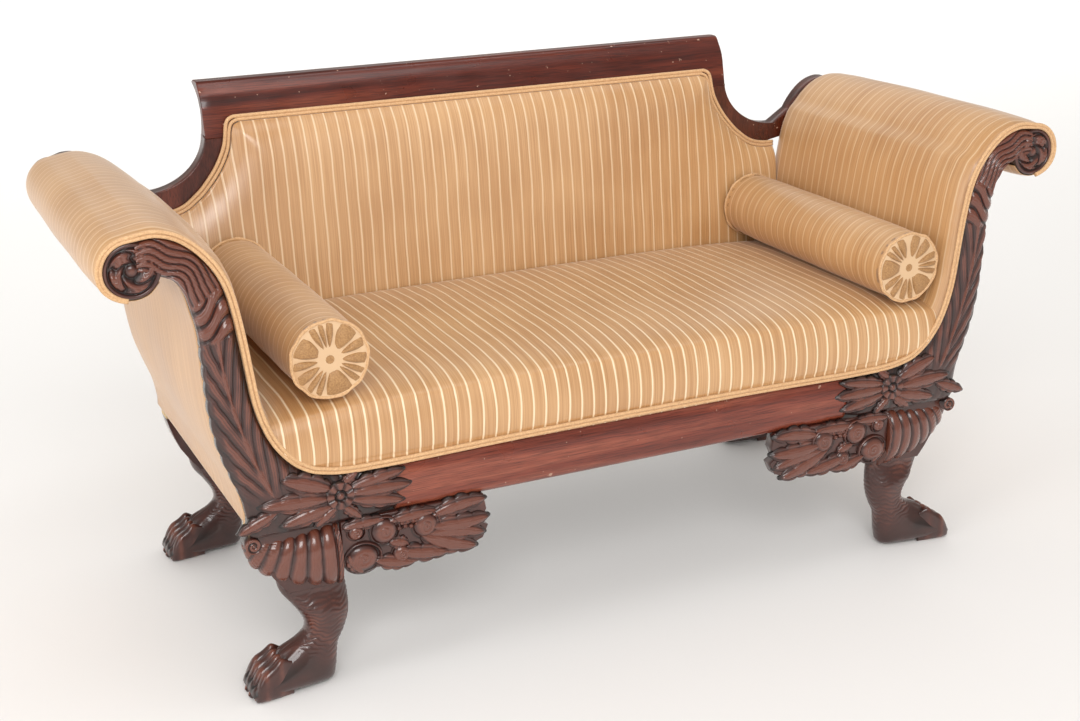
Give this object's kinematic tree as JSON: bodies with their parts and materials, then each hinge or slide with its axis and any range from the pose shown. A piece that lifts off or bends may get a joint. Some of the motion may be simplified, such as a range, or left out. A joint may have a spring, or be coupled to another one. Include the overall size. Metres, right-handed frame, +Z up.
{
  "type": "scroll-arm settee",
  "caption": "Settee with scrolled arms, carved facings and paw feet, a rolled crest rail between scooped shoulders, sprung striped upholstery and loose round bolsters.",
  "frame": {"origin": "centre of the bounding box's base, on the floor", "axes": "+X to the right as seen from the front, -Y towards the front, +Z up"},
  "size_m": [1.6564, 0.6692, 0.8412],
  "materials": {
    "mahogany": "French polished, worn at the edges",
    "carved_mahogany": "carved, dark stained and polished",
    "poplar": "sawn, unfinished",
    "beech": "turned, unfinished",
    "satin": "striped satin, soft sheen",
    "satin_pale": "satin over cord, soft sheen",
    "jute": "coarse woven webbing",
    "linen": "coarse plain weave",
    "cambric": "thin glazed cotton",
    "steel": "drawn wire and plain screws"
  },
  "bodies": {
    "settee": {"front_rail": "poplar", "show_rail": "mahogany", "rear_rail": "poplar", "left_side_rail": "poplar", "right_side_rail": "poplar", "corner_blocks": "poplar", "corner_screws": "steel", "rail_dowels": "beech", "front_left_leg": "carved_mahogany", "front_right_leg": "carved_mahogany", "rear_left_leg": "carved_mahogany", "rear_right_leg": "carved_mahogany", "left_fruit_bracket": "carved_mahogany", "right_fruit_bracket": "carved_mahogany", "left_arm_facing": "carved_mahogany", "right_arm_facing": "carved_mahogany", "left_front_post": "poplar", "right_front_post": "poplar", "left_rear_post": "poplar", "right_rear_post": "poplar", "left_scroll_rail": "poplar", "right_scroll_rail": "poplar", "left_arm_slats": "poplar", "right_arm_slats": "poplar", "left_arm_pad": "satin", "right_arm_pad": "satin", "left_outer_panel": "satin", "right_outer_panel": "satin", "crest_rail": "mahogany", "left_back_stile": "mahogany", "right_back_stile": "mahogany", "back_lower_rail": "poplar", "back_upright": "poplar", "back_dowels": "beech", "back_webbing": "jute", "back_pad": "satin", "outside_back": "satin", "seat_webbing": "jute", "seat_springs": "steel", "seat_burlap": "linen", "seat_stuffing": "linen", "seat_cover": "satin", "front_welt": "satin_pale", "back_welt": "satin_pale", "dust_cover": "cambric"},
    "left_bolster_body": {"left_bolster": "satin", "left_bolster_buttons": "satin_pale"},
    "right_bolster_body": {"right_bolster": "satin", "right_bolster_buttons": "satin_pale"}
  },
  "joints": [
    {"name": "left_bolster_lift", "type": "slide", "parent": "settee", "child": "left_bolster_body", "axis": [0, 0, 1], "range_m": [0, 0.4]},
    {"name": "right_bolster_lift", "type": "slide", "parent": "settee", "child": "right_bolster_body", "axis": [0, 0, 1], "range_m": [0, 0.4]}
  ]
}
